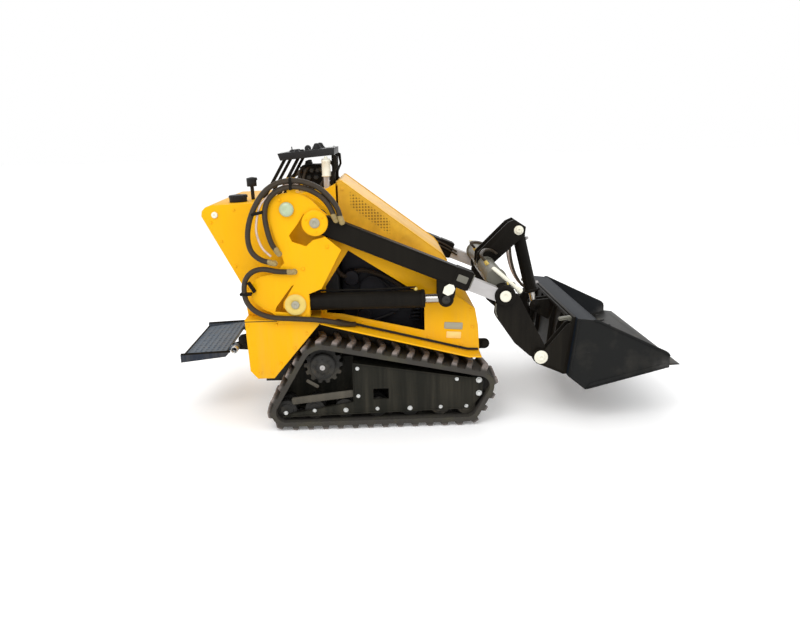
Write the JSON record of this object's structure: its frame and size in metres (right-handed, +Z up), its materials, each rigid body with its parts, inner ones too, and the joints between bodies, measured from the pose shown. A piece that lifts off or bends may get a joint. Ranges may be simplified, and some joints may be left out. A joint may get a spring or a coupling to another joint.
{
  "type": "compact tracked loader",
  "caption": "Stand-on tracked loader with open rubber tracks, box-section lift arms, centre tilt cylinder, wide front bucket and a folding rear platform.",
  "frame": {"origin": "on the ground, at the middle of the bounding box seen from above", "axes": "+X forward to the bucket, +Y to the machine's left, +Z up"},
  "size_m": [2.438, 1.08, 1.355],
  "materials": {
    "yellow_paint": "glossy yellow paint",
    "black_paint": "semi-gloss black paint",
    "bucket_paint": "satin blue-black paint, scuffed",
    "grey_paint": "satin grey-green paint",
    "dark_steel": "dark satin",
    "track_steel": "dusty brown-black paint",
    "track_rubber": "matte rubber",
    "hose": "matte rubber",
    "engine": "dark, matte",
    "black_plastic": "matte black",
    "pale_metal": "pale grey satin paint",
    "rod_chrome": "polished",
    "platform_grey": "grey non-slip sheet with black lips"
  },
  "bodies": {
    "chassis": {"lower_frame": "dark_steel", "side_frame_right": "yellow_paint", "side_frame_left": "yellow_paint", "nose_panel": "yellow_paint", "rear_box": "yellow_paint", "rear_cowl": "yellow_paint", "dash": "yellow_paint", "tower_outer_right": "yellow_paint", "tower_outer_left": "yellow_paint", "tower_inner_right": "yellow_paint", "tower_inner_left": "yellow_paint", "engine_block": "engine", "console_tray": "black_plastic", "console_struts": "black_paint", "control_levers": "black_plastic", "control_valve": "black_paint", "filter_canister": "pale_metal", "filler_caps": "black_plastic", "hoses_right": "hose", "hoses_left": "hose", "track_right": "track_rubber", "track_left": "track_rubber", "track_frame_right": "track_steel", "track_frame_left": "track_steel", "rollers_right": "dark_steel", "rollers_left": "dark_steel", "drive_right": "dark_steel", "drive_left": "dark_steel", "tie_lugs": "black_paint", "platform_brackets": "black_paint", "tank_block": "black_plastic"},
    "hood": {"hood_shell": "yellow_paint"},
    "arms": {"arm_right": "black_paint", "arm_left": "black_paint", "arm_end_right": "black_paint", "arm_end_left": "black_paint", "crossmember": "grey_paint", "horn": "black_paint", "arm_sleeve_right": "pale_metal", "arm_sleeve_left": "pale_metal", "stay_rod": "pale_metal"},
    "lift_barrel_right": {"lift_barrel_right": "black_paint"},
    "lift_barrel_left": {"lift_barrel_left": "black_paint"},
    "lift_rod_right": {"lift_rod_right": "rod_chrome"},
    "lift_rod_left": {"lift_rod_left": "rod_chrome"},
    "tilt_barrel": {"tilt_barrel": "black_paint"},
    "tilt_rod": {"tilt_rod_eye": "rod_chrome"},
    "bucket": {"hitch": "black_paint", "bucket": "bucket_paint", "cutting_edge": "dark_steel"},
    "platform": {"platform_tray": "platform_grey"}
  },
  "joints": [
    {"name": "arm_lift", "type": "hinge", "parent": "chassis", "child": "arms", "pos_m": [-0.496, 0, 1.01], "axis": [0, -1, 0], "range_deg": [-6.5, 75]},
    {"name": "bucket_tilt", "type": "hinge", "parent": "arms", "child": "bucket", "pos_m": [0.556, 0, 0.333], "axis": [0, 1, 0], "range_deg": [-15, 93]},
    {"name": "platform_fold", "type": "hinge", "parent": "chassis", "child": "platform", "pos_m": [-0.962, 0, 0.342], "axis": [0, 1, 0], "range_deg": [0, 85]},
    {"name": "hood_open", "type": "hinge", "parent": "chassis", "child": "hood", "pos_m": [-0.4, 0, 1.168], "axis": [0, -1, 0], "range_deg": [0, 45]},
    {"name": "lift_barrel_right_pivot", "type": "hinge", "parent": "chassis", "child": "lift_barrel_right", "pos_m": [-0.604, 0, 0.632], "axis": [0, -1, 0], "range_deg": [-6, 58]},
    {"name": "lift_rod_right_slide", "type": "slide", "parent": "lift_barrel_right", "child": "lift_rod_right", "axis": [1, 0, -0.0028], "range_m": [-0.04, 0.39]},
    {"name": "lift_barrel_left_pivot", "type": "hinge", "parent": "chassis", "child": "lift_barrel_left", "pos_m": [-0.604, 0, 0.632], "axis": [0, -1, 0], "range_deg": [-6, 58]},
    {"name": "lift_rod_left_slide", "type": "slide", "parent": "lift_barrel_left", "child": "lift_rod_left", "axis": [1, 0, -0.0028], "range_m": [-0.04, 0.39]},
    {"name": "tilt_barrel_pivot", "type": "hinge", "parent": "arms", "child": "tilt_barrel", "pos_m": [0.522, 0, 0.888], "axis": [0, 1, 0], "range_deg": [-8, 3]},
    {"name": "tilt_rod_slide", "type": "slide", "parent": "tilt_barrel", "child": "tilt_rod", "axis": [0.2353, 0, -0.9719], "range_m": [-0.045, 0.24]}
  ],
  "couplings": [
    {"joint": "lift_barrel_right_pivot", "follows": "arm_lift", "ratio": 0.735},
    {"joint": "lift_rod_right_slide", "follows": "arm_lift", "m_per_rad": 0.2865},
    {"joint": "lift_barrel_left_pivot", "follows": "arm_lift", "ratio": 0.735},
    {"joint": "lift_rod_left_slide", "follows": "arm_lift", "m_per_rad": 0.2865},
    {"joint": "tilt_barrel_pivot", "follows": "bucket_tilt", "ratio": -0.06},
    {"joint": "tilt_rod_slide", "follows": "bucket_tilt", "m_per_rad": 0.1404}
  ]
}
